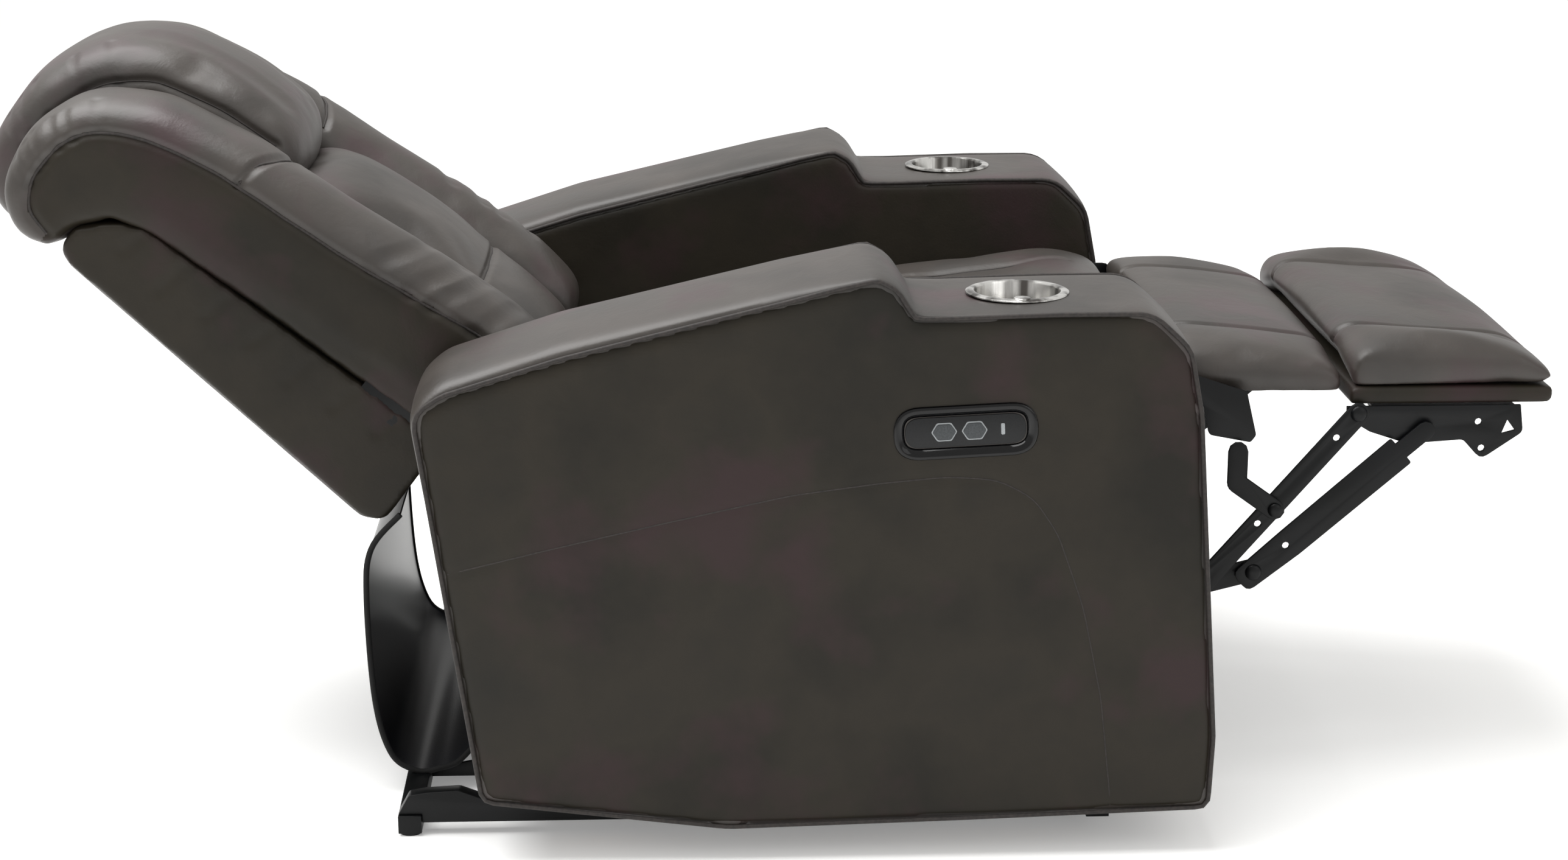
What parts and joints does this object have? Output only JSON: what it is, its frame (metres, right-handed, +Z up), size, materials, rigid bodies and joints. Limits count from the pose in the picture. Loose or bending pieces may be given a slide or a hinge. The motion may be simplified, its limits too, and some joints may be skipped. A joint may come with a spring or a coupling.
{
  "type": "power recliner armchair",
  "caption": "Leather power recliner armchair with side bolsters, cup holders in the arms, a switch panel and a folding footrest, shown reclined.",
  "frame": {"origin": "on the floor, under the middle of the reclined chair's bounding box", "axes": "+Z up, -Y towards the footrest (the way the sitter faces), +X to the sitter's left"},
  "size_m": [0.958, 1.7325, 0.8286],
  "materials": {
    "side_leather": "distressed dark brown-grey leather, satin",
    "cushion_leather": "distressed dark brown-grey leather, satin",
    "brushed_cup": "brushed stainless",
    "drive_steel": "ground steel rod",
    "gloss_bezel": "gloss black",
    "black_plastic": "matte black",
    "button_plastic": "soft grey",
    "frame_wood": "bare board",
    "deck_fabric": "black dust cover",
    "flap_vinyl": "coated black fabric",
    "black_steel": "black powder coat"
  },
  "bodies": {
    "base": {"rear_cross_tube": "black_steel", "front_cross_tube": "black_steel", "base_rail_left": "black_steel", "base_rail_right": "black_steel", "rear_foot_left": "black_plastic", "rear_foot_right": "black_plastic", "front_foot_left": "black_plastic", "front_foot_right": "black_plastic", "track_rail_left": "black_steel", "track_rail_right": "black_steel", "arm_cover_left": "side_leather", "arm_cover_right": "side_leather", "arm_frame_left": "frame_wood", "arm_frame_right": "frame_wood", "cup_holder_left": "brushed_cup", "cup_holder_right": "brushed_cup", "control_bezel": "gloss_bezel", "control_plate": "black_plastic", "usb_socket": "button_plastic", "power_inlet": "black_plastic"},
    "button_open": {"button_open": "button_plastic"},
    "button_close": {"button_close": "button_plastic"},
    "front_swing": {"front_swing": "black_steel"},
    "rear_swing": {"rear_swing": "black_steel"},
    "carriage": {"seat_side_plate_left": "black_steel", "seat_side_plate_right": "black_steel", "seat_rear_tube": "black_steel", "seat_front_tube": "black_steel", "seat_rail_left": "frame_wood", "seat_rail_right": "frame_wood", "seat_deck": "deck_fabric", "seat_cushion": "cushion_leather", "drive_motor": "black_plastic", "rear_flap": "flap_vinyl"},
    "back": {"back_bracket_left": "black_steel", "back_bracket_right": "black_steel", "back_frame": "frame_wood", "outside_back_shell": "side_leather", "wing_bolster_left": "cushion_leather", "wing_bolster_right": "cushion_leather", "lumbar_cushion": "cushion_leather", "head_pillow": "cushion_leather"},
    "rear_link": {"rear_link_left": "black_steel", "rear_link_right": "black_steel", "torsion_tube": "black_steel"},
    "front_link": {"front_link_left": "black_steel", "front_link_right": "black_steel"},
    "stay_link": {"stay_link_left": "black_steel", "stay_link_right": "black_steel"},
    "bent_link": {"bent_link_left": "black_steel", "bent_link_right": "black_steel"},
    "ottoman": {"ottoman_bracket_left": "black_steel", "ottoman_bracket_right": "black_steel", "ottoman_board": "side_leather", "ottoman_pad": "cushion_leather"},
    "chaise": {"chaise_bracket_left": "black_steel", "chaise_bracket_right": "black_steel", "chaise_board": "frame_wood", "chaise_pad": "cushion_leather"},
    "drive_rod": {"drive_rod": "drive_steel"}
  },
  "joints": [
    {"name": "seat_glide", "type": "slide", "parent": "base", "child": "carriage", "axis": [0, -0.9962, 0.0872], "range_m": [-0.105, 0]},
    {"name": "back_recline", "type": "hinge", "parent": "carriage", "child": "back", "pos_m": [0, 0.235, 0.4], "axis": [1, 0, 0], "range_deg": [0, 38.05], "deforming": ["rear_flap"]},
    {"name": "front_swing_turn", "type": "hinge", "parent": "base", "child": "front_swing", "pos_m": [0, -0.23, 0.09], "axis": [1, 0, 0], "range_deg": [-44.05, 0]},
    {"name": "rear_swing_turn", "type": "hinge", "parent": "base", "child": "rear_swing", "pos_m": [0, 0.2, 0.09], "axis": [1, 0, 0], "range_deg": [-44.05, 0]},
    {"name": "footrest", "type": "hinge", "parent": "carriage", "child": "rear_link", "pos_m": [0, -0.38, 0.246], "axis": [1, 0, 0], "range_deg": [0, 124]},
    {"name": "front_link_turn", "type": "hinge", "parent": "rear_link", "child": "front_link", "pos_m": [0, -0.48, 0.232], "axis": [1, 0, 0], "range_deg": [-112.45, 0]},
    {"name": "stay_link_turn", "type": "hinge", "parent": "rear_link", "child": "stay_link", "pos_m": [0, -0.537, 0.246], "axis": [1, 0, 0], "range_deg": [-117.16, 0]},
    {"name": "bent_link_turn", "type": "hinge", "parent": "front_link", "child": "bent_link", "pos_m": [0, -0.557, 0.319], "axis": [1, 0, 0], "range_deg": [0, 4.15]},
    {"name": "ottoman_turn", "type": "hinge", "parent": "front_link", "child": "ottoman", "pos_m": [0, -0.646, 0.426], "axis": [1, 0, 0], "range_deg": [0, 78.45]},
    {"name": "chaise_turn", "type": "hinge", "parent": "carriage", "child": "chaise", "pos_m": [0, -0.44, 0.47], "axis": [1, 0, 0], "range_deg": [0, 90.05]},
    {"name": "drive_slide", "type": "slide", "parent": "carriage", "child": "drive_rod", "axis": [0, -1, 0], "range_m": [-0.106, 0]},
    {"name": "button_open_press", "type": "slide", "parent": "base", "child": "button_open", "axis": [1, 0, 0], "range_m": [0, 0.0015], "stiffness_N_per_m": 400, "springref_m": -0.001},
    {"name": "button_close_press", "type": "slide", "parent": "base", "child": "button_close", "axis": [1, 0, 0], "range_m": [0, 0.0015], "stiffness_N_per_m": 400, "springref_m": -0.001}
  ],
  "couplings": [
    {"joint": "back_recline", "follows": "seat_glide", "rad_per_m": -6.3164},
    {"joint": "front_swing_turn", "follows": "seat_glide", "rad_per_m": 7.3138},
    {"joint": "rear_swing_turn", "follows": "seat_glide", "rad_per_m": 7.3138},
    {"joint": "front_link_turn", "follows": "footrest", "ratio": -0.90648},
    {"joint": "stay_link_turn", "follows": "footrest", "ratio": -0.9444},
    {"joint": "bent_link_turn", "follows": "footrest", "ratio": 0.033093},
    {"joint": "ottoman_turn", "follows": "footrest", "ratio": 0.63229},
    {"joint": "chaise_turn", "follows": "footrest", "ratio": 0.72581},
    {"joint": "drive_slide", "follows": "footrest", "m_per_rad": -0.048957}
  ]
}
